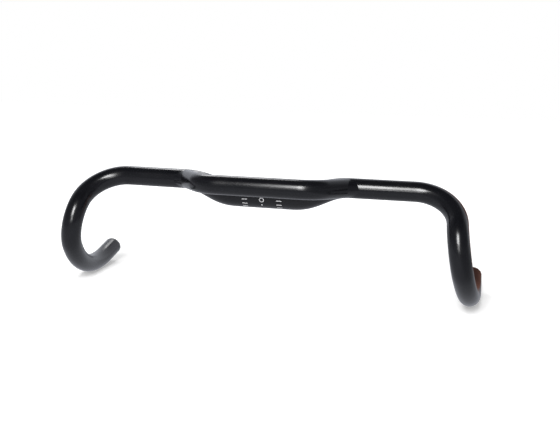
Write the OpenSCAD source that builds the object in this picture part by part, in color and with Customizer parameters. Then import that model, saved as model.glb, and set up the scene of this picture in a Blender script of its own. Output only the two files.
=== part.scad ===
// Gravel drop handlebar with a dropped stem clamp and a forward cross loop.
// The origin is the centre of the stem clamp. +X is along the bar, -Y is forward, +Z is up.
// The bar is drawn with its tops and its loop level. Everything right of the centre is
// worked out once and mirrored to the left.

/* [Tube] */
// Outside diameter of the bent tube
tube_d = 23.8; // [22.2:0.1:26]
// Wall of the bent tube
tube_wall = 1.8; // [1.2:0.1:2.6]

/* [Stem clamp] */
// Diameter that the stem clamps
clamp_d = 31.8; // [28:0.1:35]
// Length of the straight clamp section
clamp_l = 64; // [50:1:80]
// Wall at the clamp section
clamp_wall = 2.4; // [1.6:0.1:3.2]

/* [Tops] */
// Height of the tops above the clamp axis
top_rise = 13.8; // [6:0.2:24]
// Distance of the tops' axis behind the clamp axis, taken at the middle
top_back = 1.5; // [0:0.5:8]
// Distance from the middle to where the rise and the taper end
rise_end_x = 106; // [90:1:112]
// Backward sweep of the tops
top_sweep = 1; // [0:0.5:4]
// Distance between the two corners where the tops and the ramps would meet
corner_span = 449; // [420:1:520]
// Bend radius from the top to the ramp
corner_r = 48; // [40:1:60]

/* [Hooks and drops] */
// Slope of the ramp, down from level
ramp_angle = 38.5; // [25:0.5:50]
// Outward lean of the drop, seen from the front
flare = 10; // [0:1:24]
// Inward turn of the ramps towards the front, seen from above
toe_in = 5.5; // [0:0.5:10]
// Bend radius of the upper hook
hook_r = 40; // [34:1:50]
// Turn of the upper hook
hook_turn = 93; // [80:1:100]
// Bend radius of the lower hook
drop_r = 125; // [90:1:140]
// Turn of the lower hook
drop_turn = 62; // [50:1:66]
// Straight grip at the end of each drop
end_l = 28; // [18:1:60]

/* [Front loop] */
// Outside diameter of the loop tube
loop_d = 23; // [20:0.5:25.4]
// Wall of the loop tube
loop_wall = 1.6; // [1.2:0.1:2.4]
// Distance from the clamp axis forward to the loop's axis
loop_forward = 40; // [34:1:56]
// Distance from the middle to where the loop's axis meets the axis of the top
loop_joint_x = 101; // [94:1:106]
// Angle at which the loop meets the top, seen from above
loop_angle = 51; // [45:1:60]
// Bend radius of the loop
loop_r = 36; // [30:1:44]

/* [Welds] */
// Radius of the weld bead that runs round each foot of the loop
weld_r = 3; // [2:0.2:3.6]

/* [Hidden] */

// Facets of a turned or bent tube, which come out as true curves
round_fn = 96;
// Sides and rings of the tapered rise
rise_sides = 32;
rise_rings = 10;
// How far the end of a stretch reaches into the one it joins, and how much thinner it is there,
// so that the two share volume and not only a face
lap = 0.8;
seat = 0.02;
// Length of level tube beyond the rise that is still swept, so that the loop's foot and its weld
// lie on one surface
level_l = 14;
// Points round a weld, sides of its bead, and halvings used to find its seam
seam_points = 36;
bead_sides = 8;
seam_steps = 18;
// Spare length on a cutter
cut_over = 2;

tube_r = tube_d / 2;
clamp_r = clamp_d / 2;
clamp_half = clamp_l / 2;
loop_tube_r = loop_d / 2;
level_end_x = rise_end_x + level_l;

function unit(v) = v / norm(v);

// Share of the clamp's place and size left at a distance x from the middle: 1 at the clamp,
// 0 on the tops, with no kink at either end
function rise_share(x) =
    let (t = max(0, min(1, (rise_end_x - x) / (rise_end_x - clamp_half))))
    t * t * t * (t * (6 * t - 15) + 10);

// A point on the axis of the tops, taken on to the middle of the bar
function top_axis(x) = [x, top_back + x * tan(top_sweep), top_rise];

// The axis and the outer radius of the tube from the clamp out to the tops
function rise_axis(x) =
    let (s = 1 - rise_share(x), p = top_axis(x))
    [x, s * p[1], s * p[2]];
function rise_r(x) = tube_r + rise_share(x) * (clamp_r - tube_r);
function rise_wall(x) = tube_wall + rise_share(x) * (clamp_wall - tube_wall);

// A stretch of tube starts at a place: its point, its heading and the side it bends towards
function onward(place, l) = [place[0] + l * place[1], place[1], place[2]];
function turned(place, r, a) = [
    place[0] + r * (sin(a) * place[1] + (1 - cos(a)) * place[2]),
    cos(a) * place[1] + sin(a) * place[2],
    cos(a) * place[2] - sin(a) * place[1]];

// Headings of the top and of the ramp, and the way down along the drop
top_dir = [cos(top_sweep), sin(top_sweep), 0];
forward_dir = [-sin(toe_in), -cos(toe_in), 0];
down_dir = [sin(flare) * cos(toe_in), -sin(flare) * sin(toe_in), -cos(flare)];
ramp_dir = cos(ramp_angle) * forward_dir + sin(ramp_angle) * down_dir;
hook_side = cos(ramp_angle) * down_dir - sin(ramp_angle) * forward_dir;
corner_turn = acos(top_dir * ramp_dir);
corner_side = unit(ramp_dir - (ramp_dir * top_dir) * top_dir);

top_from = [top_axis(level_end_x), top_dir, corner_side];
top_l = (corner_span / 2 - level_end_x) / cos(top_sweep) - corner_r * tan(corner_turn / 2);
corner_from = onward(top_from, top_l);
hook_from = [turned(corner_from, corner_r, corner_turn)[0], ramp_dir, hook_side];
drop_from = turned(hook_from, hook_r, hook_turn);
end_from = turned(drop_from, drop_r, drop_turn);

// The loop lies level with the tops: a straight middle, a bend and a straight leg to the top
loop_foot = top_axis(loop_joint_x);
leg_back = loop_foot[1] + loop_forward;
leg_dir = [cos(loop_angle), sin(loop_angle), 0];
leg_side = [-sin(loop_angle), cos(loop_angle), 0];
loop_corner_x = loop_foot[0] - leg_back / tan(loop_angle);
loop_half = loop_corner_x - loop_r * tan(loop_angle / 2);
loop_bend_from = [[loop_half, -loop_forward, top_rise], [1, 0, 0], [0, 1, 0]];
leg_from = turned(loop_bend_from, loop_r, loop_angle);
leg_l = norm(loop_foot - leg_from[0]);

// Lays a child that heads along +X and bends towards +Y at a place
module at(place) {
    d = place[1];
    n = place[2];
    b = cross(d, n);
    multmatrix([
        [d[0], n[0], b[0], place[0][0]],
        [d[1], n[1], b[1], place[0][1]],
        [d[2], n[2], b[2], place[0][2]],
        [0, 0, 0, 1]])
        children();
}

module rod(r, l) {
    rotate([0, 90, 0])
        cylinder(r = r, h = l, $fn = round_fn);
}

// A bend, carried on by a length before its start and after its end
module bent_rod(r, bend_r, a, before, after) {
    degrees_per_mm = 180 / (PI * bend_r);
    translate([0, bend_r, 0])
        rotate([0, 0, -90 - before * degrees_per_mm])
            rotate_extrude(angle = a + (before + after) * degrees_per_mm, $fn = round_fn)
                translate([bend_r, 0])
                    circle(r = r);
}

module both_sides() {
    children();
    mirror([1, 0, 0])
        children();
}

// The tapered, rising stretch between the clamp and the top, inset from its outside by a share
// of its wall: 0 gives the outside and 1 the inside
module rise_sweep(inset) {
    first = clamp_half - lap;
    rings = concat(
        [for (i = [0 : rise_rings]) first + (rise_end_x - first) * i / rise_rings],
        [level_end_x + lap]);
    step = 0.01;
    points = [for (x = rings)
        let (
            along = unit(rise_axis(x + step) - rise_axis(x - step)),
            side = unit(cross([0, 0, 1], along)),
            up = cross(along, side),
            r = rise_r(x) - inset * rise_wall(x) - seat
        )
        for (j = [0 : rise_sides - 1])
            let (a = 360 * j / rise_sides)
            rise_axis(x) + r * (cos(a) * side + sin(a) * up)];
    last = len(rings) - 1;
    walls = [for (i = [0 : last - 1]) for (j = [0 : rise_sides - 1])
        let (k = (j + 1) % rise_sides, a = i * rise_sides, b = a + rise_sides)
        [a + k, a + j, b + j, b + k]];
    near_end = [for (j = [0 : rise_sides - 1]) j];
    far_end = [for (j = [rise_sides - 1 : -1 : 0]) last * rise_sides + j];
    polyhedron(points = points, faces = concat(walls, [near_end], [far_end]), convexity = 4);
}

// The right half of the bent tube as a solid: its outside at inset 0, its hollow at inset 1.
// over is how far it runs past the cut end
module bar_half(inset, over) {
    r = tube_r - inset * tube_wall;
    rise_sweep(inset);
    at(top_from)
        rod(r, top_l);
    at(corner_from)
        bent_rod(r - seat, corner_r, corner_turn, lap, 0);
    at(hook_from)
        bent_rod(r - 2 * seat, hook_r, hook_turn, lap, lap);
    at(drop_from)
        bent_rod(r - seat, drop_r, drop_turn, 0, lap);
    at(end_from)
        rod(r, end_l + over);
}

module bar_solid(inset, over) {
    translate([-clamp_half, 0, 0])
        rod(clamp_r - inset * clamp_wall, clamp_l);
    both_sides()
        bar_half(inset, over);
}

// The loop's bend and leg on the right. The leg ends on the axis of the top
module loop_side(inset, over) {
    r = loop_tube_r - inset * loop_wall;
    at(loop_bend_from)
        bent_rod(r - seat, loop_r, loop_angle, lap, lap);
    at(leg_from)
        rod(r, leg_l + over);
}

module loop_solid(inset, over) {
    translate([-loop_half, -loop_forward, top_rise])
        rod(loop_tube_r - inset * loop_wall, 2 * loop_half);
    both_sides()
        loop_side(inset, over);
}

// How far a point lies outside the bent tube, measured square to the X axis
function outside_bar(p) =
    let (c = rise_axis(p[0]))
    norm([p[1] - c[1], p[2] - c[2]]) - rise_r(p[0]);

// A line on the outside of the loop's leg, at an angle a round it, s back from the loop's foot
function leg_point(a, s) =
    loop_foot - s * leg_dir + loop_tube_r * (cos(a) * leg_side + [0, 0, sin(a)]);

// Where that line enters the bent tube, by halving the stretch between two distances
function seam_s(a, near, far, left) =
    let (mid = (near + far) / 2)
    left == 0 ? mid
    : outside_bar(leg_point(a, mid)) > 0 ? seam_s(a, near, mid, left - 1)
    : seam_s(a, mid, far, left - 1);
function seam_point(a) = leg_point(a, seam_s(a, 0, leg_l, seam_steps));

// A round bead along the seam on the right, with the two tubes cut away from it
module weld() {
    points = [for (i = [0 : seam_points - 1])
        let (
            a = 360 * i / seam_points,
            p = seam_point(a),
            along = unit(seam_point(a + 1) - seam_point(a - 1)),
            out = unit(cross(along, leg_dir)),
            up = cross(out, along)
        )
        for (j = [0 : bead_sides - 1])
            let (b = 360 * j / bead_sides)
            p + weld_r * (cos(b) * out + sin(b) * up)];
    faces = [for (i = [0 : seam_points - 1]) for (j = [0 : bead_sides - 1])
        let (
            k = (j + 1) % bead_sides,
            a = i * bead_sides,
            b = (i + 1) % seam_points * bead_sides
        )
        [a + j, a + k, b + k, b + j]];
    difference() {
        polyhedron(points = points, faces = faces, convexity = 6);
        bar_half(0, 0);
        loop_side(0, 0);
    }
}

module bar_tube() {
    color([0.09, 0.09, 0.1])
        difference() {
            bar_solid(0, 0);
            bar_solid(1, cut_over);
        }
}

module front_loop() {
    color([0.11, 0.11, 0.12])
        difference() {
            loop_solid(0, 0);
            loop_solid(1, cut_over);
            bar_solid(0, 0);
        }
}

module weld_right() {
    color([0.1, 0.1, 0.11])
        weld();
}

module weld_left() {
    mirror([1, 0, 0])
        weld_right();
}

bar_tube();
front_loop();
weld_left();
weld_right();
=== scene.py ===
"""Gravel drop handlebar: a dropped stem clamp, a forward cross loop and flared drops, all black."""
import logging
import math
from collections.abc import Callable
from dataclasses import dataclass
from enum import Enum

import bmesh
import bpy
from mathutils import Matrix, Vector


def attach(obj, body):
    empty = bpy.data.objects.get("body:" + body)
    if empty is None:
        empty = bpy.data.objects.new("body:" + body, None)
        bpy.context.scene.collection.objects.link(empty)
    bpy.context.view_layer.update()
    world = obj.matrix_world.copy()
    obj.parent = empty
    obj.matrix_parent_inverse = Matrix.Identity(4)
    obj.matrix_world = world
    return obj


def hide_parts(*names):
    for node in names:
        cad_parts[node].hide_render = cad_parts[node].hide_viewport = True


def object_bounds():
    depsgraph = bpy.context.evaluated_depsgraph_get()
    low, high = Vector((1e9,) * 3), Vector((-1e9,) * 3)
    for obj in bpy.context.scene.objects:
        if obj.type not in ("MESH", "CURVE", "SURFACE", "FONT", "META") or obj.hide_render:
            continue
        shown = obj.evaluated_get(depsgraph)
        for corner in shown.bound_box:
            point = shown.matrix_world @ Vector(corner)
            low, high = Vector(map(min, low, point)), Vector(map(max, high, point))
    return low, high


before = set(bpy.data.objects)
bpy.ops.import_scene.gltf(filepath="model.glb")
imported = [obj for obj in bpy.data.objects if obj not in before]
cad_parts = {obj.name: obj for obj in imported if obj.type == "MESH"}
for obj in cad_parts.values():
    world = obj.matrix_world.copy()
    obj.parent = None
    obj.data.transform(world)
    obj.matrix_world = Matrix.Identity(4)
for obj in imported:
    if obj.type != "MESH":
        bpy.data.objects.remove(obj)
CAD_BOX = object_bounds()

LOG = logging.getLogger("handlebar")
MM = 0.001
MERGE = 0.001 * MM
SHARP = math.radians(40)

Colour = tuple[float, float, float]
Point = tuple[float, float, float]
Span = tuple[float, float]
Socket = bpy.types.NodeSocket


class Side(Enum):
    """Side of the bar, as its sign along X."""

    LEFT = -1
    RIGHT = 1


class Slot(Enum):
    """Material slots of the record."""

    TUBE = "tube_black"
    LOOP = "loop_black"
    WELD = "weld_black"


@dataclass(frozen=True)
class Place:
    """The start of a stretch of tube: a point, a heading and the side it bends towards."""

    point: Vector
    heading: Vector
    side: Vector

    def onward(self, length: float) -> "Place":
        """Returns the place a length further along a straight stretch."""
        return Place(self.point + length * self.heading, self.heading, self.side)

    def turned(self, radius: float, angle: float) -> "Place":
        """Returns the place at an angle round a bend.

        Args:
            radius: Bend radius of the axis.
            angle: Angle turned, in radians.

        Returns:
            The place there, with its heading and side turned too.
        """
        c, s = math.cos(angle), math.sin(angle)
        point = self.point + radius * (s * self.heading + (1 - c) * self.side)
        return Place(point, c * self.heading + s * self.side, c * self.side - s * self.heading)

    def line(self, length: float, steps: int) -> list[Vector]:
        """Returns the points along a straight stretch, without its start."""
        return [self.onward(length * i / steps).point for i in range(1, steps + 1)]

    def bend(self, radius: float, angle: float, steps: int) -> list[Vector]:
        """Returns the points round a bend, without its start."""
        return [self.turned(radius, angle * i / steps).point for i in range(1, steps + 1)]


def mirrored(points: list[Vector]) -> list[Vector]:
    """Returns a right half and its mirror image as one path, from left to right.

    Args:
        points: Points of the right half, of which the first is on the middle plane.

    Returns:
        Points of the whole path.
    """
    left = [Vector((-p.x, p.y, p.z)) for p in reversed(points[1:])]
    return left + points


@dataclass(frozen=True)
class BarSizes:
    """Sizes of the bent tube, as the CAD model has them, and the steps of its path.

    Lengths are in metres and angles in radians. The steps count the straight pieces that a stretch
    of the path is made of.
    """

    tube_r: float = 11.9 * MM
    wall: float = 1.8 * MM
    clamp_r: float = 15.9 * MM
    clamp_half: float = 32 * MM
    top_rise: float = 13.8 * MM
    top_back: float = 1.5 * MM
    rise_end: float = 106 * MM
    top_sweep: float = math.radians(1)
    corner_half: float = 224.5 * MM
    corner_r: float = 48 * MM
    ramp_angle: float = math.radians(38.5)
    flare: float = math.radians(10)
    toe_in: float = math.radians(5.5)
    hook_r: float = 40 * MM
    hook_turn: float = math.radians(93)
    drop_r: float = 125 * MM
    drop_turn: float = math.radians(62)
    end_l: float = 28 * MM
    clamp_steps: int = 4
    rise_steps: int = 44
    top_steps: int = 8
    corner_steps: int = 36
    hook_steps: int = 40
    drop_steps: int = 40
    end_steps: int = 5

    def share(self, x: float) -> float:
        """Works out how much of the clamp's size and place is left beside it.

        Args:
            x: Distance from the middle of the bar.

        Returns:
            1 on the clamp, 0 on the tops, and the fifth-degree rise between them.
        """
        t = (self.rise_end - abs(x)) / (self.rise_end - self.clamp_half)
        t = max(0.0, min(1.0, t))
        return t * t * t * (t * (6 * t - 15) + 10)

    def top_axis(self, x: float) -> Vector:
        """Returns a point on the axis of the tops, taken on to the middle."""
        return Vector((x, self.top_back + abs(x) * math.tan(self.top_sweep), self.top_rise))

    def axis(self, x: float) -> Vector:
        """Finds the axis between the clamp and the tops.

        Args:
            x: Distance from the middle of the bar.

        Returns:
            The point on the axis.
        """
        top = self.top_axis(x)
        s = 1 - self.share(x)
        return Vector((x, s * top.y, s * top.z))

    def radius(self, x: float) -> float:
        """Returns the outside radius between the clamp and the tops."""
        return self.tube_r + self.share(x) * (self.clamp_r - self.tube_r)

    def nearest(self, point: Vector, rounds: int = 8,
                step: float = 0.01 * MM) -> tuple[Vector, float]:
        """Finds the axis nearest to a point beside the rise or the top.

        Args:
            point: A point on the right of the bar.
            rounds: Number of times that the guess is mended.
            step: Distance each way over which the tangent is taken.

        Returns:
            The nearest point on the axis and the bar's radius there.
        """
        x = point.x
        for _ in range(rounds):
            tangent = (self.axis(x + step) - self.axis(x - step)) / (2 * step)
            x += (point - self.axis(x)).dot(tangent) / tangent.length_squared
        return self.axis(x), self.radius(x)

    def crossing(self, start: Vector, along: Vector, far: float, gap: float,
                 rounds: int) -> tuple[float, float]:
        """Finds how far back a line is at a given distance from the bar's surface.

        Args:
            start: The line's point nearest to the bar's axis.
            along: Direction of the line, towards the bar.
            far: A distance back that is surely further out.
            gap: Distance from the surface, negative inside the bar.
            rounds: Number of times that the span is halved.

        Returns:
            The two ends of the last span, as distances back from the start.
        """
        near = 0.0
        for _ in range(rounds):
            middle = (near + far) / 2
            point = start - middle * along
            axis, radius = self.nearest(point)
            if (point - axis).length > radius + gap:
                far = middle
            else:
                near = middle
        return near, far

    def path(self) -> list[Vector]:
        """Follows the bar's axis through its rise, top, corner, hook, drop and straight end.

        Returns:
            The axis of the whole bar, from the left end to the right end.
        """
        top_dir = Vector((math.cos(self.top_sweep), math.sin(self.top_sweep), 0))
        ct, st = math.cos(self.toe_in), math.sin(self.toe_in)
        forward = Vector((-st, -ct, 0))
        cf, sf = math.cos(self.flare), math.sin(self.flare)
        down = Vector((sf * ct, -sf * st, -cf))
        cr, sr = math.cos(self.ramp_angle), math.sin(self.ramp_angle)
        ramp = cr * forward + sr * down
        turn = top_dir.angle(ramp)
        inner = (ramp - ramp.dot(top_dir) * top_dir).normalized()
        start = Place(self.top_axis(self.rise_end), top_dir, inner)
        run = (self.corner_half - self.rise_end) / math.cos(self.top_sweep)
        run -= self.corner_r * math.tan(turn / 2)
        corner = start.onward(run)
        hook = Place(corner.turned(self.corner_r, turn).point, ramp, cr * down - sr * forward)
        drop = hook.turned(self.hook_r, self.hook_turn)
        end = drop.turned(self.drop_r, self.drop_turn)
        points = [Vector((self.clamp_half * i / self.clamp_steps, 0, 0))
                  for i in range(self.clamp_steps + 1)]
        rise = self.rise_end - self.clamp_half
        points += [self.axis(self.clamp_half + rise * i / self.rise_steps)
                   for i in range(1, self.rise_steps + 1)]
        points += start.line(run, self.top_steps)
        points += corner.bend(self.corner_r, turn, self.corner_steps)
        points += hook.bend(self.hook_r, self.hook_turn, self.hook_steps)
        points += drop.bend(self.drop_r, self.drop_turn, self.drop_steps)
        points += end.line(self.end_l, self.end_steps)
        return mirrored(points)


@dataclass(frozen=True)
class LoopSizes:
    """Sizes of the cross loop in front of the clamp, in metres and radians, and its path's steps."""

    tube_r: float = 11.5 * MM
    forward: float = 40 * MM
    joint_x: float = 101 * MM
    angle: float = math.radians(51)
    bend_r: float = 36 * MM
    middle_steps: int = 6
    bend_steps: int = 28
    leg_steps: int = 14

    def leg_dir(self) -> Vector:
        """Returns the heading of the right leg."""
        return Vector((math.cos(self.angle), math.sin(self.angle), 0))

    def leg_side(self) -> Vector:
        """Returns the level direction square to the right leg."""
        return Vector((-math.sin(self.angle), math.cos(self.angle), 0))

    def foot(self, bar: BarSizes) -> Vector:
        """Returns the point where the right leg meets the axis of the top."""
        return bar.top_axis(self.joint_x)

    def half(self, bar: BarSizes) -> float:
        """Works out the straight middle from where the legs land on the tops.

        Args:
            bar: The bar that the loop is joined to.

        Returns:
            Half the length of the middle.
        """
        foot = self.foot(bar)
        corner_x = foot.x - (foot.y + self.forward) / math.tan(self.angle)
        return corner_x - self.bend_r * math.tan(self.angle / 2)

    def bend_start(self, bar: BarSizes) -> Place:
        """Returns the place where the right bend starts."""
        point = Vector((self.half(bar), -self.forward, bar.top_rise))
        return Place(point, Vector((1, 0, 0)), Vector((0, 1, 0)))

    def leg_length(self, bar: BarSizes) -> float:
        """Returns the length of the leg from its bend to the axis of the top."""
        return (self.foot(bar) - self.bend_start(bar).turned(self.bend_r, self.angle).point).length

    def path(self, bar: BarSizes) -> list[Vector]:
        """Follows the loop's axis through its middle, its bend and its leg.

        Args:
            bar: The bar that the loop is joined to.

        Returns:
            The axis of the whole loop, from the left top to the right top.
        """
        start = self.bend_start(bar)
        leg = start.turned(self.bend_r, self.angle)
        middle = Vector((0, -self.forward, bar.top_rise))
        points = [middle + (start.point - middle) * i / self.middle_steps
                  for i in range(self.middle_steps + 1)]
        points += start.bend(self.bend_r, self.angle, self.bend_steps)
        points += leg.line(self.leg_length(bar), self.leg_steps)
        return mirrored(points)


def link(name: str, mesh: bpy.types.Mesh) -> bpy.types.Object:
    """Puts a mesh into the scene as an object at the origin.

    Args:
        name: Name of the object and of its mesh.
        mesh: The mesh, with its place in its vertices.

    Returns:
        The new object.
    """
    mesh.name = name
    piece = bpy.data.objects.new(name, mesh)
    bpy.context.scene.collection.objects.link(piece)
    return piece


def flat_card(name: str, corners: list[Vector | Point],
              material: bpy.types.Material) -> bpy.types.Object:
    """Puts a flat card into the scene.

    Args:
        name: Name of the card.
        corners: Its four corners, in turn.
        material: Its material.

    Returns:
        The card's object.
    """
    mesh = bpy.data.meshes.new(name)
    mesh.from_pydata(corners, [], [(0, 1, 2, 3)])
    mesh.materials.append(material)
    return link(name, mesh)


def plain(piece: bpy.types.Object) -> bpy.types.Object:
    """Replaces an object with modifiers by a plain mesh of its final shape.

    Args:
        piece: The object, which is deleted.

    Returns:
        A new object of the same name, without modifiers.
    """
    name = piece.name
    graph = bpy.context.evaluated_depsgraph_get()
    graph.update()
    mesh = bpy.data.meshes.new_from_object(piece.evaluated_get(graph), depsgraph=graph)
    bpy.data.objects.remove(piece)
    return link(name, mesh)


def tidy_normals(mesh: bpy.types.Mesh) -> None:
    """Merges doubles, turns the faces outwards and shades them smooth but for sharp edges.

    Args:
        mesh: The closed mesh, which is changed in place.
    """
    shape = bmesh.new()
    shape.from_mesh(mesh)
    bmesh.ops.remove_doubles(shape, verts=shape.verts, dist=MERGE)
    bmesh.ops.recalc_face_normals(shape, faces=shape.faces)
    for face in shape.faces:
        face.smooth = True
    for edge in shape.edges:
        edge.smooth = not edge.is_manifold or edge.calc_face_angle() < SHARP
    shape.to_mesh(mesh)
    shape.free()


class NodeBench:
    """Builds the nodes and links of one tree."""

    def __init__(self, tree: bpy.types.NodeTree) -> None:
        """Keeps the tree."""
        self.tree = tree

    def add(self, kind: str, inputs: dict | None = None, **settings: object) -> bpy.types.Node:
        """Adds a node.

        Args:
            kind: Blender's name of the node type.
            inputs: Values or sockets, by input name or number.
            settings: Properties of the node itself.

        Returns:
            The new node.
        """
        node = self.tree.nodes.new(kind)
        for name, value in settings.items():
            setattr(node, name, value)
        for name, value in (inputs or {}).items():
            if isinstance(value, Socket):
                self.tree.links.new(value, node.inputs[name])
            else:
                node.inputs[name].default_value = value
        return node

    def math(self, operation: str, *values: float | Socket) -> Socket:
        """Returns the result of a Math node."""
        return self.add("ShaderNodeMath", dict(enumerate(values)), operation=operation).outputs[0]


def new_material(name: str) -> tuple[bpy.types.Material, NodeBench]:
    """Starts a material.

    Args:
        name: Name of the material.

    Returns:
        The material, with an empty tree, and a bench on that tree.
    """
    material = bpy.data.materials.new(name)
    material.use_nodes = True
    material.node_tree.nodes.clear()
    return material, NodeBench(material.node_tree)


def noise(bench: NodeBench, scale: float, detail: float, roughness: float = 0.5) -> Socket:
    """Adds a noise pattern that stays on the piece.

    Args:
        bench: The bench on the material's tree.
        scale: Number of spots in a metre.
        detail: Number of finer layers.
        roughness: Strength of each finer layer.

    Returns:
        The pattern's value.
    """
    where = bench.add("ShaderNodeTexCoord").outputs["Object"]
    return bench.add("ShaderNodeTexNoise", {
        "Vector": where, "Scale": scale, "Detail": detail, "Roughness": roughness}).outputs["Fac"]


def two_tone(bench: NodeBench, share: Socket, colour: Colour, tones: Span) -> Socket:
    """Mixes a darker and a lighter tone of one colour.

    Args:
        bench: The bench on the material's tree.
        share: The socket that goes from the first tone at 0 to the second at 1.
        colour: The colour itself.
        tones: What the colour is multiplied by in each tone.

    Returns:
        The mixed colour.
    """
    first, second = [(*(tone * c for c in colour), 1) for tone in tones]
    # The Mix node's colours are its inputs 6 and 7, and the mixed one is its output 2.
    return bench.add("ShaderNodeMix", {0: share, 6: first, 7: second}, data_type="RGBA").outputs[2]


@dataclass(frozen=True)
class TreeInput:
    """A named input of a Geometry Nodes tree and the value that this bar gives it."""

    name: str
    kind: str
    value: object


def new_tree(name: str, inputs: list[TreeInput]) -> tuple[NodeBench, bpy.types.Node]:
    """Starts a Geometry Nodes tree.

    Args:
        name: Name of the tree.
        inputs: Its inputs, after the geometry.

    Returns:
        A bench on the tree and its group input node.
    """
    tree = bpy.data.node_groups.new(name, "GeometryNodeTree")
    tree.interface.new_socket("Geometry", in_out="INPUT", socket_type="NodeSocketGeometry")
    for item in inputs:
        tree.interface.new_socket(item.name, in_out="INPUT", socket_type=item.kind)
    tree.interface.new_socket("Geometry", in_out="OUTPUT", socket_type="NodeSocketGeometry")
    bench = NodeBench(tree)
    return bench, bench.add("NodeGroupInput")


def run_tree(piece: bpy.types.Object, bench: NodeBench, inputs: list[TreeInput]) -> bpy.types.Object:
    """Runs a tree on an object and keeps the result as a plain mesh.

    Args:
        piece: The object that the tree starts from, which is deleted.
        bench: The bench on the finished tree.
        inputs: The values of the tree's inputs.

    Returns:
        The finished object.
    """
    modifier = piece.modifiers.new(bench.tree.name, "NODES")
    modifier.node_group = bench.tree
    sockets = {s.name: s.identifier for s in bench.tree.interface.items_tree if s.in_out == "INPUT"}
    for item in inputs:
        modifier[sockets[item.name]] = item.value
    return plain(piece)


def path_curve(name: str, points: list[Vector]) -> bpy.types.Object:
    """Puts a path into the scene as a curve.

    Args:
        name: Name of the curve.
        points: Points of the path.

    Returns:
        The curve's object.
    """
    curve = bpy.data.curves.new(name, "CURVE")
    curve.dimensions = "3D"
    spline = curve.splines.new("POLY")
    spline.points.add(len(points) - 1)
    for place, point in zip(spline.points, points):
        place.co = (*point, 1)
    piece = bpy.data.objects.new(name, curve)
    bpy.context.scene.collection.objects.link(piece)
    return piece


def swept_tube(name: str, points: list[Vector], coat: bpy.types.Material, radii: Span,
               taper: Span, sides: int) -> bpy.types.Object:
    """Sweeps a round tube along a path, thicker near the middle of the bar.

    Args:
        name: Name of the piece.
        points: Axis of the tube.
        coat: Its material.
        radii: Its radius in the middle and past the taper.
        taper: Distances from the middle at which the taper starts and ends.
        sides: Number of sides.

    Returns:
        The outside of the tube, open at both ends.
    """
    inputs = [
        TreeInput("Middle radius", "NodeSocketFloat", radii[0]),
        TreeInput("Tube radius", "NodeSocketFloat", radii[1]),
        TreeInput("Taper start", "NodeSocketFloat", taper[0]),
        TreeInput("Taper end", "NodeSocketFloat", taper[1]),
        TreeInput("Sides", "NodeSocketInt", sides),
        TreeInput("Finish", "NodeSocketMaterial", coat),
    ]
    piece = path_curve(name, points)
    bench, given = new_tree("tube_along_path", inputs)
    where = bench.add("GeometryNodeInputPosition")
    split = bench.add("ShaderNodeSeparateXYZ", {0: where.outputs[0]})
    radius = bench.add("ShaderNodeMapRange", {
        "Value": bench.math("ABSOLUTE", split.outputs["X"]),
        "From Min": given.outputs["Taper start"],
        "From Max": given.outputs["Taper end"],
        "To Min": given.outputs["Middle radius"],
        "To Max": given.outputs["Tube radius"],
    }, interpolation_type="SMOOTHERSTEP")
    ring = bench.add("GeometryNodeCurvePrimitiveCircle", {
        "Resolution": given.outputs["Sides"], "Radius": 1.0})
    tube = bench.add("GeometryNodeCurveToMesh", {
        "Curve": given.outputs["Geometry"],
        "Profile Curve": ring.outputs[0],
        "Scale": radius.outputs[0],
    })
    smooth = bench.add("GeometryNodeSetShadeSmooth", {"Geometry": tube.outputs[0]})
    real = bench.add("GeometryNodeRealizeInstances", {"Geometry": smooth.outputs[0]})
    dressed = bench.add("GeometryNodeSetMaterial", {
        "Geometry": real.outputs[0], "Material": given.outputs["Finish"]})
    bench.add("NodeGroupOutput", {0: dressed.outputs[0]})
    return run_tree(piece, bench, inputs)


@dataclass(frozen=True)
class BlackCoat:
    """Satin black coat on aluminium: a fine grain, a slight peel and faint rub marks.

    Attributes:
        name: Name of the material.
        colour: Middle colour of the coat.
        tones: What the colour is multiplied by between and on the grains.
        roughness: Lowest and highest roughness.
        specular: Strength of the plain gloss.
        grain_mm: Size of a grain.
        grain_height_mm: Height of a grain.
        grain: Strength of the grain's bump.
        peel_scale: Number of the peel's ripples in a metre.
        peel_height_mm: Height of a ripple.
        peel: Strength of the peel's bump.
        rub_scale: Number of rub marks in a metre.
        rub_span: Range of the pattern over which the roughness changes.
    """

    name: str
    colour: Colour = (0.0024, 0.0025, 0.0035)
    tones: Span = (0.6, 1.5)
    roughness: Span = (0.19, 0.26)
    specular: float = 0.36
    grain_mm: float = 0.35
    grain_height_mm: float = 0.0025
    grain: float = 0.5
    peel_scale: float = 420.0
    peel_height_mm: float = 0.03
    peel: float = 0.12
    rub_scale: float = 38.0
    rub_span: Span = (0.35, 0.65)

    def material(self) -> bpy.types.Material:
        """Builds the finish.

        Returns:
            The finish as a material.
        """
        material, bench = new_material(self.name)
        grains = noise(bench, 1 / (self.grain_mm * MM), detail=3.0, roughness=0.6)
        rubs = noise(bench, self.rub_scale, detail=4.0, roughness=0.55)
        ripples = noise(bench, self.peel_scale, detail=2.0)
        rough = bench.add("ShaderNodeMapRange", {
            "Value": rubs, "From Min": self.rub_span[0], "From Max": self.rub_span[1],
            "To Min": self.roughness[0], "To Max": self.roughness[1]})
        fine = bench.add("ShaderNodeBump", {
            "Height": grains, "Strength": self.grain, "Distance": self.grain_height_mm * MM})
        peel = bench.add("ShaderNodeBump", {
            "Height": ripples, "Strength": self.peel, "Distance": self.peel_height_mm * MM,
            "Normal": fine.outputs["Normal"]})
        shader = bench.add("ShaderNodeBsdfPrincipled", {
            "Base Color": two_tone(bench, grains, self.colour, self.tones),
            "Roughness": rough.outputs["Result"],
            "Normal": peel.outputs["Normal"],
            "Specular IOR Level": self.specular,
        })
        bench.add("ShaderNodeOutputMaterial", {"Surface": shader.outputs[0]})
        return material


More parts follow.
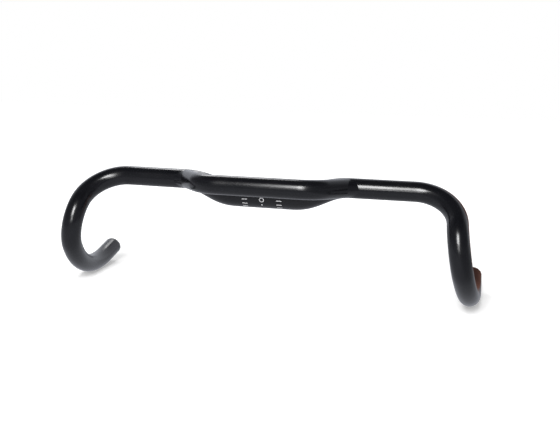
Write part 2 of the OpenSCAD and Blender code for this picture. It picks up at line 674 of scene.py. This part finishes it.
@dataclass(frozen=True)
class PlainFinish:
    """Ink, or the bare inside of the tube: one colour with a fine mottle."""

    name: str
    colour: Colour
    roughness: float
    tones: Span = (0.8, 1.15)
    mottle_mm: float = 0.8
    mottle_height_mm: float = 0.01
    mottle: float = 0.4

    def material(self) -> bpy.types.Material:
        """Builds the finish.

        Returns:
            The finish as a material.
        """
        material, bench = new_material(self.name)
        spots = noise(bench, 1 / (self.mottle_mm * MM), detail=3.0)
        bump = bench.add("ShaderNodeBump", {
            "Height": spots, "Strength": self.mottle, "Distance": self.mottle_height_mm * MM})
        shader = bench.add("ShaderNodeBsdfPrincipled", {
            "Base Color": two_tone(bench, spots, self.colour, self.tones),
            "Roughness": self.roughness,
            "Normal": bump.outputs["Normal"],
        })
        bench.add("ShaderNodeOutputMaterial", {"Surface": shader.outputs[0]})
        return material


@dataclass
class BentTube:
    """The main tube, from one open end to the other."""

    sizes: BarSizes
    finish: BlackCoat
    inside: PlainFinish
    sides: int = 72
    edge: float = 0.35 * MM
    edge_steps: int = 3
    edge_angle: float = math.radians(50)

    def build(self) -> bpy.types.Object:
        """Sweeps the outside, gives it its wall and breaks the edges of the cut ends.

        Returns:
            The finished piece.
        """
        coat = self.finish.material()
        bare = self.inside.material()
        s = self.sizes
        piece = swept_tube("bar_tube_skin", s.path(), coat, radii=(s.clamp_r, s.tube_r),
                           taper=(s.clamp_half, s.rise_end), sides=self.sides)
        self.turn_out(piece.data)
        piece.data.materials.clear()
        piece.data.materials.append(coat)
        piece.data.materials.append(bare)
        wall = piece.modifiers.new("wall", "SOLIDIFY")
        wall.thickness = s.wall
        wall.offset = -1
        wall.material_offset = 1
        wall.material_offset_rim = 0
        bevel = piece.modifiers.new("edge", "BEVEL")
        bevel.width = self.edge
        bevel.segments = self.edge_steps
        bevel.limit_method = "ANGLE"
        bevel.angle_limit = self.edge_angle
        piece = plain(piece)
        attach(piece, "root")
        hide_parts("bar_tube")
        return piece

    def turn_out(self, mesh: bpy.types.Mesh) -> None:
        """Turns the faces of the open tube away from its axis, if they point inwards.

        Args:
            mesh: The swept outside, before it gets its wall.
        """
        face = min(mesh.polygons, key=lambda f: abs(f.center.x))
        away = face.center - Vector((face.center.x, 0, 0))
        if face.normal.dot(away) < 0:
            mesh.flip_normals()


@dataclass
class CrossLoop:
    """The second tube, in front of the clamp, with its feet cut to the main tube."""

    sizes: LoopSizes
    bar: BarSizes
    finish: BlackCoat
    sides: int = 72
    sink: float = 0.15 * MM
    rounds: int = 24

    def build(self) -> bpy.types.Object:
        """Sweeps the loop, cuts its feet to shape and closes them.

        Returns:
            The finished piece.
        """
        coat, s = self.finish.material(), self.sizes
        piece = swept_tube("front_loop_skin", s.path(self.bar), coat, radii=(s.tube_r, s.tube_r),
                           taper=(0.0, s.joint_x), sides=self.sides)
        self.cut_feet(piece.data)
        tidy_normals(piece.data)
        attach(piece, "root")
        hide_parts("front_loop")
        return piece

    def cut_feet(self, mesh: bpy.types.Mesh) -> None:
        """Slides each line of the legs back to where it enters the main tube, and closes the feet.

        Args:
            mesh: The swept loop, whose legs end on the axis of the tops.
        """
        s = self.sizes
        foot, along = s.foot(self.bar), s.leg_dir()
        length = s.leg_length(self.bar)
        for vertex in mesh.vertices:
            flip = math.copysign(1.0, vertex.co.x)
            point = Vector((abs(vertex.co.x), vertex.co.y, vertex.co.z))
            back = (foot - point).dot(along)
            if back > length:
                continue
            line = point + back * along
            seam, _ = self.bar.crossing(line, along, length, -self.sink, self.rounds)
            back = length - (length - back) * (length - seam) / length
            point = line - back * along
            vertex.co = (flip * point.x, point.y, point.z)
        shape = bmesh.new()
        shape.from_mesh(mesh)
        rim = [edge for edge in shape.edges if edge.is_boundary]
        bmesh.ops.holes_fill(shape, edges=rim, sides=0)
        shape.to_mesh(mesh)
        shape.free()


def change_round(rule: Callable[[float], Vector | float], angle: float,
                 span: float = 0.001) -> Vector | float:
    """Returns how much a rule's result changes round the leg, over a small angle each way."""
    return rule(angle + span) - rule(angle - span)


@dataclass
class WeldFillet:
    """The ground weld round one foot of the loop: a rolling-ball fillet between the tubes.

    Attributes:
        bar: The main tube.
        loop: The loop.
        finish: The coat.
        side: The side of the bar.
        node: The CAD node that the fillet stands for.
        ball_r: The ball's radius in the tight corner.
        front_ball_r: Its radius on the open front side.
        sunk: How far the closed back of a section lies inside the seam.
        turns: Number of sections round the leg.
        arc: Number of steps across a section.
        search: Leg lengths over which the ball's place is looked for.
        rounds: Number of times that this span is halved.
    """

    bar: BarSizes
    loop: LoopSizes
    finish: BlackCoat
    side: Side
    node: str
    ball_r: float = 3.4 * MM
    front_ball_r: float = 16 * MM
    sunk: float = 0.4 * MM
    turns: int = 120
    arc: int = 10
    search: float = 1.4
    rounds: int = 40

    def build(self) -> bpy.types.Object:
        """Rolls the ball round the seam and skins the arcs that it leaves.

        Returns:
            The finished piece.
        """
        shape = bmesh.new()
        angles = [2 * math.pi * i / self.turns for i in range(self.turns)]
        rings = [[shape.verts.new(self.placed(p)) for p in self.section(a)] for a in angles]
        for i, ring in enumerate(rings):
            after = rings[(i + 1) % self.turns]
            for j in range(len(ring)):
                k = (j + 1) % len(ring)
                shape.faces.new((ring[j], ring[k], after[k], after[j]))
        mesh = bpy.data.meshes.new(self.node)
        shape.to_mesh(mesh)
        shape.free()
        tidy_normals(mesh)
        mesh.materials.append(self.finish.material())
        piece = link(self.node + "_fillet", mesh)
        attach(piece, "root")
        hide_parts(self.node)
        return piece

    def placed(self, point: Vector) -> Vector:
        """Returns a point of the right weld on this weld's side."""
        return Vector((self.side.value * point.x, point.y, point.z))

    def section(self, angle: float) -> list[Vector]:
        """Returns one closed section of the weld.

        Args:
            angle: Angle round the leg.

        Returns:
            The arc from the main tube to the loop, and a point inside the seam.
        """
        centre, ball = self.centre(angle), self.ball(angle)
        step = change_round(self.centre, angle)
        slope = change_round(self.ball, angle) / step.length
        axis, _ = self.bar.nearest(centre)
        foot, along = self.loop.foot(self.bar), self.loop.leg_dir()
        on_leg = foot + (centre - foot).dot(along) * along
        hub = centre - ball * slope * step.normalized()
        on_bar = centre + ball * (axis - centre).normalized() - hub
        on_loop = centre + ball * (on_leg - centre).normalized() - hub
        to_bar, to_loop = on_bar.normalized(), on_loop.normalized()
        reach = on_bar.length
        points = [hub + reach * to_bar.slerp(to_loop, i / self.arc) for i in range(self.arc + 1)]
        inwards = (to_bar + to_loop).normalized()
        middle = points[self.arc // 2]
        depth = max((p - middle).dot(inwards) for p in (points[0], points[-1]))
        return points + [middle + (depth + self.sunk) * inwards]

    def ball(self, angle: float) -> float:
        """Returns the ball's radius at an angle round the leg, largest on the open front side."""
        share = (1 - math.cos(angle)) / 2
        return self.ball_r + (self.front_ball_r - self.ball_r) * share * share

    def centre(self, angle: float) -> Vector:
        """Finds the middle of the ball that touches both tubes.

        Args:
            angle: Angle round the leg.

        Returns:
            The middle of the ball.
        """
        ball = self.ball(angle)
        reach = self.loop.tube_r + ball
        side, along = self.loop.leg_side(), self.loop.leg_dir()
        out = math.cos(angle) * side + Vector((0, 0, math.sin(angle)))
        line = self.loop.foot(self.bar) + reach * out
        far = self.search * self.loop.leg_length(self.bar)
        _, back = self.bar.crossing(line, along, far, ball, self.rounds)
        return line - back * along


@dataclass
class ClampMarks:
    """Printed setting marks on the front of the clamp section."""

    bar: BarSizes
    ink: PlainFinish
    columns: tuple[float, ...] = (-21 * MM, 21 * MM)
    rows: int = 4
    first_angle: float = math.radians(-4.5)
    row_step: float = math.radians(20.5)
    length: float = 6.4 * MM
    width: float = 0.9 * MM
    thickness: float = 0.03 * MM
    points_along: int = 9
    points_across: int = 4

    def build(self) -> bpy.types.Object:
        """Lays the marks flat, wraps them round the clamp and gives them their thickness.

        Returns:
            The finished piece.
        """
        inputs = [
            TreeInput("Rows", "NodeSocketInt", self.rows),
            TreeInput("Row step", "NodeSocketFloat", self.row_step * self.bar.clamp_r),
            TreeInput("First row", "NodeSocketFloat", self.first_angle * self.bar.clamp_r),
            TreeInput("Mark length", "NodeSocketFloat", self.length),
            TreeInput("Mark width", "NodeSocketFloat", self.width),
            TreeInput("Clamp radius", "NodeSocketFloat", self.bar.clamp_r + self.thickness),
            TreeInput("Ink", "NodeSocketMaterial", self.ink.material()),
        ]
        piece = run_tree(self.anchors(), self.tree(inputs), inputs)
        piece.name = "clamp_marks"
        coat = piece.modifiers.new("ink", "SOLIDIFY")
        coat.thickness = 2 * self.thickness
        coat.offset = -1
        piece = plain(piece)
        tidy_normals(piece.data)
        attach(piece, "root")
        return piece

    def anchors(self) -> bpy.types.Object:
        """Places the columns of marks.

        Returns:
            An object with one point for each column.
        """
        mesh = bpy.data.meshes.new("clamp_marks")
        mesh.from_pydata([(x, 0, 0) for x in self.columns], [], [])
        return link("clamp_marks", mesh)

    def tree(self, inputs: list[TreeInput]) -> NodeBench:
        """Builds the tree that repeats the mark and wraps it round the clamp.

        Args:
            inputs: The tree's inputs.

        Returns:
            The bench on the finished tree.
        """
        bench, given = new_tree("marks_round_clamp", inputs)
        mark = bench.add("GeometryNodeMeshGrid", {
            "Size X": given.outputs["Mark length"], "Size Y": given.outputs["Mark width"],
            "Vertices X": self.points_along, "Vertices Y": self.points_across})
        first = bench.add("ShaderNodeCombineXYZ", {"Y": given.outputs["First row"]})
        step = bench.add("ShaderNodeCombineXYZ", {"Y": given.outputs["Row step"]})
        column = bench.add("GeometryNodeMeshLine", {
            "Count": given.outputs["Rows"], "Start Location": first.outputs[0],
            "Offset": step.outputs[0]})
        marks = bench.add("GeometryNodeInstanceOnPoints", {
            "Points": column.outputs[0], "Instance": mark.outputs[0]})
        one = bench.add("GeometryNodeRealizeInstances", {"Geometry": marks.outputs[0]})
        both = bench.add("GeometryNodeInstanceOnPoints", {
            "Points": given.outputs["Geometry"], "Instance": one.outputs[0]})
        flat = bench.add("GeometryNodeRealizeInstances", {"Geometry": both.outputs[0]})
        where = bench.add("GeometryNodeInputPosition")
        split = bench.add("ShaderNodeSeparateXYZ", {0: where.outputs[0]})
        radius = given.outputs["Clamp radius"]
        angle = bench.math("DIVIDE", split.outputs["Y"], radius)
        outwards = bench.math("MULTIPLY", radius, -1.0)
        wrapped = bench.add("ShaderNodeCombineXYZ", {
            "X": split.outputs["X"],
            "Y": bench.math("MULTIPLY", bench.math("COSINE", angle), outwards),
            "Z": bench.math("MULTIPLY", bench.math("SINE", angle), outwards),
        })
        curved = bench.add("GeometryNodeSetPosition", {
            "Geometry": flat.outputs[0], "Position": wrapped.outputs[0]})
        dressed = bench.add("GeometryNodeSetMaterial", {
            "Geometry": curved.outputs[0], "Material": given.outputs["Ink"]})
        bench.add("NodeGroupOutput", {0: dressed.outputs[0]})
        return bench


@dataclass
class CentreMark:
    """Printed ring and short line at the middle of the clamp section."""

    bar: BarSizes
    ink: PlainFinish
    angle: float = math.radians(16)
    ring_r: float = 2.5 * MM
    stroke: float = 0.8 * MM
    line_drop: float = 7.2 * MM
    line_length: float = 2.4 * MM
    thickness: float = 0.03 * MM
    ring_steps: int = 40
    line_steps: int = 4

    def build(self) -> bpy.types.Object:
        """Draws the mark flat, wraps it round the clamp and gives it its thickness.

        Returns:
            The finished piece.
        """
        shape = bmesh.new()
        rings = []
        for radius in (self.ring_r - self.stroke / 2, self.ring_r + self.stroke / 2):
            turns = [2 * math.pi * i / self.ring_steps for i in range(self.ring_steps)]
            rings.append([self.vertex(shape, radius * math.sin(a), radius * math.cos(a))
                          for a in turns])
        for i in range(self.ring_steps):
            k = (i + 1) % self.ring_steps
            shape.faces.new((rings[0][i], rings[0][k], rings[1][k], rings[1][i]))
        half = self.stroke / 2
        line = [-self.line_drop - self.line_length * (i / self.line_steps - 0.5)
                for i in range(self.line_steps + 1)]
        rows = [[self.vertex(shape, x, up) for x in (-half, half)] for up in line]
        for above, below in zip(rows, rows[1:]):
            shape.faces.new((above[0], above[1], below[1], below[0]))
        mesh = bpy.data.meshes.new("centre_mark")
        shape.to_mesh(mesh)
        shape.free()
        mesh.materials.append(self.ink.material())
        piece = link("centre_mark", mesh)
        coat = piece.modifiers.new("ink", "SOLIDIFY")
        coat.thickness = 2 * self.thickness
        coat.offset = 0
        piece = plain(piece)
        tidy_normals(piece.data)
        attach(piece, "root")
        return piece

    def vertex(self, shape: bmesh.types.BMesh, x: float, up: float) -> bmesh.types.BMVert:
        """Adds a flat point of the mark, wrapped round the clamp.

        Args:
            shape: The mesh that the point goes into.
            x: Distance along the bar.
            up: Distance up the clamp's surface from the middle of the ring.

        Returns:
            The new vertex.
        """
        angle = self.angle - up / self.bar.clamp_r
        reach = self.bar.clamp_r
        return shape.verts.new((x, -reach * math.cos(angle), -reach * math.sin(angle)))


@dataclass(frozen=True)
class SoftLight:
    """A soft box that points at a place on the bar."""

    name: str
    place: Point
    target: Point
    size: Span
    power: float

    def build(self) -> None:
        """Adds the lamp."""
        lamp = bpy.data.lights.new(self.name, "AREA")
        lamp.shape = "RECTANGLE"
        lamp.size, lamp.size_y = self.size
        lamp.energy = self.power
        holder = bpy.data.objects.new(self.name, lamp)
        holder.location = self.place
        towards = Vector(self.target) - Vector(self.place)
        holder.rotation_euler = towards.to_track_quat("-Z", "Y").to_euler()
        bpy.context.scene.collection.objects.link(holder)


@dataclass(frozen=True)
class WarmCard:
    """A warm card behind the right end, which is seen in the gloss alone."""

    place: Point = (0.35, 0.3, 0.03)
    across: Point = (0.89, -0.45, 0.0)
    size: Span = (0.22, 0.31)
    colour: Colour = (0.36, 0.17, 0.13)

    def build(self) -> None:
        """Adds the card and its plain glow."""
        middle, out = Vector(self.place), Vector(self.across) * self.size[0] / 2
        up = Vector((0, 0, self.size[1] / 2))
        corners = [middle - out - up, middle + out - up, middle + out + up, middle - out + up]
        material, bench = new_material("warm_card")
        glow = bench.add("ShaderNodeEmission", {"Color": (*self.colour, 1), "Strength": 1.0})
        bench.add("ShaderNodeOutputMaterial", {"Surface": glow.outputs[0]})
        card = flat_card("warm_card", corners, material)
        card.visible_camera = False
        card.visible_diffuse = False
        card.visible_shadow = False
        card.visible_transmission = False


@dataclass(frozen=True)
class PhotoCamera:
    """The camera that took the photograph, in the bar's frame."""

    place: Point = (0.19252, -0.77929, 0.10498)
    yaw: float = math.radians(12.5)
    pitch: float = math.radians(9.17)
    roll: float = math.radians(1.86)
    lens: float = 43.07
    sensor: float = 36.0
    clip_start: float = 0.01

    def build(self) -> None:
        """Adds the camera and makes it the scene's."""
        cy, sy = math.cos(self.yaw), math.sin(self.yaw)
        cp, sp = math.cos(self.pitch), math.sin(self.pitch)
        ahead = Vector((-sy * cp, cy * cp, -sp))
        level = Vector((cy, sy, 0))
        upright = level.cross(ahead)
        right = math.cos(self.roll) * level + math.sin(self.roll) * upright
        up = math.cos(self.roll) * upright - math.sin(self.roll) * level
        data = bpy.data.cameras.new("photo_camera")
        data.sensor_fit = "HORIZONTAL"
        data.sensor_width = self.sensor
        data.lens = self.lens
        data.clip_start = self.clip_start
        camera = bpy.data.objects.new("photo_camera", data)
        turn = Matrix((right, up, -ahead)).transposed()
        camera.matrix_world = Matrix.Translation(self.place) @ turn.to_4x4()
        bpy.context.scene.collection.objects.link(camera)
        bpy.context.scene.camera = camera


@dataclass
class Studio:
    """White studio: floor, world and lamps.

    A gloss doesn't show the white that the camera sees, but a painted reflection on the floor and a
    room of the same tint. Each level of a pair holds at its end of the span beside it.

    Attributes:
        floor_z: Height of the floor.
        lights: The lamps.
        floor_half: Half the width of the floor.
        floor_colour: Grey of the floor's paint.
        glow: What lifts the paint to white for the camera, near the bar and far from it.
        glow_span: Distance from the middle of the bar over which it changes.
        ambient: Strength of the world's own light on the bar.
        tint: Colour of the floor and the room in a gloss.
        floor_levels: Level of the floor's painted reflection, in front and behind.
        floor_span: Range along Y over which it changes.
        painted_shadow_share: Share of that level that is left on the right.
        painted_shadow_span: Range along X over which it falls to that share.
        horizon_levels: Level of the room at floor height, in front and behind.
        horizon_span: Range of the direction's Y over which it changes.
        wall_levels: Level of the walls higher up, in front and behind.
        wall_span: Range of the direction's Y over which it changes.
        wall_rise: Range of the direction's Z from the horizon's level to the walls'.
        ceiling: Level of the ceiling.
        ceiling_rise: Range of the direction's Z from the walls' level to the ceiling's.
    """

    floor_z: float
    lights: list[SoftLight]
    floor_half: float = 30.0
    floor_colour: float = 0.86
    glow: Span = (0.35, 0.85)
    glow_span: Span = (0.3, 1.0)
    ambient: float = 0.35
    tint: Colour = (0.94, 0.97, 1.06)
    floor_levels: Span = (0.36, 0.74)
    floor_span: Span = (-0.9, -0.1)
    # A painted shadow: the floor's reflection keeps only this share of its level on the right.
    painted_shadow_share: float = 0.55
    painted_shadow_span: Span = (0.2, 0.32)
    horizon_levels: Span = (0.45, 1.0)
    horizon_span: Span = (0.0, 0.6)
    wall_levels: Span = (0.22, 1.0)
    wall_span: Span = (0.2, 0.6)
    wall_rise: Span = (0.0, 0.35)
    ceiling: float = 0.07
    ceiling_rise: Span = (0.62, 0.88)

    def build(self) -> None:
        """Adds the floor, the world and the lamps, and sets the view transform."""
        bpy.context.scene.view_settings.view_transform = "Standard"
        self.add_floor()
        self.add_world()
        for light in self.lights:
            light.build()

    def add_floor(self) -> None:
        """Adds the plain floor: white to the camera but for the bar's shadow, a painted reflection in
        gloss.
        """
        material, bench = new_material("studio_floor")
        c = self.floor_colour
        paint = bench.add("ShaderNodeBsdfDiffuse", {"Color": (c, c, c, 1)})
        where = bench.add("ShaderNodeTexCoord").outputs["Object"]
        away = bench.add("ShaderNodeVectorMath", {0: where}, operation="LENGTH").outputs["Value"]
        level = self.blend(bench, away, self.glow_span, *self.glow)
        glow = bench.add("ShaderNodeEmission", {"Strength": level})
        both = bench.add("ShaderNodeAddShader", {0: paint.outputs[0], 1: glow.outputs[0]})
        # Painted reflection: glossy rays see the floor glow, dimmer in front, with a painted shadow on
        # the right.
        spot = bench.add("ShaderNodeSeparateXYZ", {0: where})
        depth = self.blend(bench, spot.outputs["Y"], self.floor_span, *self.floor_levels)
        # Painted shadow: the floor's reflection falls dimmer on the right.
        across = self.blend(bench, spot.outputs["X"], self.painted_shadow_span, 1.0, self.painted_shadow_share)
        shade = bench.math("MULTIPLY", depth, across)
        painted_reflection = bench.add("ShaderNodeEmission", {"Color": (*self.tint, 1), "Strength": shade})
        path = bench.add("ShaderNodeLightPath")
        seen = bench.add("ShaderNodeMixShader", {
            0: self.seen_rays(bench), 1: paint.outputs[0], 2: both.outputs[0]})
        mixed = bench.add("ShaderNodeMixShader", {
            0: path.outputs["Is Glossy Ray"], 1: seen.outputs[0], 2: painted_reflection.outputs[0]})
        bench.add("ShaderNodeOutputMaterial", {"Surface": mixed.outputs[0]})
        h, z = self.floor_half, self.floor_z
        corners = [(-h, -h, z), (h, -h, z), (h, h, z), (-h, h, z)]
        flat_card("studio_floor", corners, material)

    def seen_rays(self, bench: NodeBench) -> Socket:
        """Finds the rays that see the floor or the world as such.

        Args:
            bench: The bench on the tree.

        Returns:
            A socket that is 1 for camera, glossy and transmission rays.
        """
        path = bench.add("ShaderNodeLightPath")
        seen = bench.math("MAXIMUM", path.outputs["Is Camera Ray"], path.outputs["Is Glossy Ray"])
        return bench.math("MAXIMUM", seen, path.outputs["Is Transmission Ray"])

    def blend(self, bench: NodeBench, value: Socket, span: Span, low: float | Socket,
              high: float | Socket) -> Socket:
        """Goes softly from one level to another.

        Args:
            bench: The bench on the tree.
            value: The socket that the level follows.
            span: The value's range over which the level changes.
            low: Level below the range.
            high: Level above the range.

        Returns:
            The level.
        """
        share = bench.add("ShaderNodeMapRange", {
            "Value": value, "From Min": span[0], "From Max": span[1]},
            interpolation_type="SMOOTHSTEP")
        # The Mix node's numbers are its inputs 2 and 3.
        return bench.add("ShaderNodeMix", {0: share.outputs["Result"], 2: low, 3: high}).outputs[0]

    def add_world(self) -> None:
        """Adds a world that is white where it is seen, and a room with walls in the gloss."""
        world = bpy.data.worlds.new("studio")
        world.use_nodes = True
        world.node_tree.nodes.clear()
        bench = NodeBench(world.node_tree)
        soft = bench.add("ShaderNodeBackground", {"Color": (1, 1, 1, 1), "Strength": self.ambient})
        white = bench.add("ShaderNodeBackground", {"Color": (1, 1, 1, 1), "Strength": 1.0})
        towards = bench.add("ShaderNodeTexCoord").outputs["Generated"]
        way = bench.add("ShaderNodeSeparateXYZ", {0: towards})
        ahead, up = way.outputs["Y"], way.outputs["Z"]
        horizon = self.blend(bench, ahead, self.horizon_span, *self.horizon_levels)
        wall = self.blend(bench, ahead, self.wall_span, *self.wall_levels)
        lower = self.blend(bench, up, self.wall_rise, horizon, wall)
        room = self.blend(bench, up, self.ceiling_rise, lower, self.ceiling)
        gloss = bench.add("ShaderNodeBackground", {"Color": (*self.tint, 1), "Strength": room})
        path = bench.add("ShaderNodeLightPath")
        shown = bench.add("ShaderNodeMixShader", {
            0: path.outputs["Is Glossy Ray"], 1: white.outputs[0], 2: gloss.outputs[0]})
        mixed = bench.add("ShaderNodeMixShader", {
            0: self.seen_rays(bench), 1: soft.outputs[0], 2: shown.outputs[0]})
        bench.add("ShaderNodeOutputWorld", {"Surface": mixed.outputs[0]})
        bpy.context.scene.world = world


def report(piece: bpy.types.Object) -> None:
    """Logs the name and the number of triangles of a finished piece."""
    triangles = sum(len(f.vertices) - 2 for f in piece.data.polygons)
    LOG.info("%s: %d triangles", piece.name, triangles)


def main() -> None:
    """Builds the bar, the camera and the studio."""
    logging.basicConfig(level=logging.INFO, format="%(name)s: %(message)s")
    bar, loop = BarSizes(), LoopSizes()
    coat = BlackCoat("satin_black_tube")
    loop_coat = BlackCoat("satin_black_loop", grain_height_mm=0.009, peel=0.3)
    weld_coat = BlackCoat("satin_black_weld")
    inside = PlainFinish("tube_inside", (0.02, 0.02, 0.022), roughness=0.55)
    ink = PlainFinish("mark_ink", (0.8, 0.8, 0.82), roughness=0.5)
    PhotoCamera().build()
    report(BentTube(bar, coat, inside).build())
    report(CrossLoop(loop, bar, loop_coat).build())
    report(WeldFillet(bar, loop, weld_coat, Side.RIGHT, "weld_right").build())
    report(WeldFillet(bar, loop, weld_coat, Side.LEFT, "weld_left").build())
    report(ClampMarks(bar, ink).build())
    report(CentreMark(bar, ink).build())
    lights = [
        SoftLight("key_box", place=(-0.01, -1.25, 0.75), target=(0, 0, 0), size=(0.46, 0.66), power=28.0),
        SoftLight("low_box", place=(0.05, -1.42, 0.2), target=(0.05, 0, 0), size=(0.4, 0.26), power=3.2),
        SoftLight("window", place=(-0.5, 0.86, 0.99), target=(-0.1, 0, 0), size=(0.5, 0.5), power=4.4),
    ]
    WarmCard().build()
    Studio(CAD_BOX[0][2], lights).build()


if __name__ == "__main__":
    main()
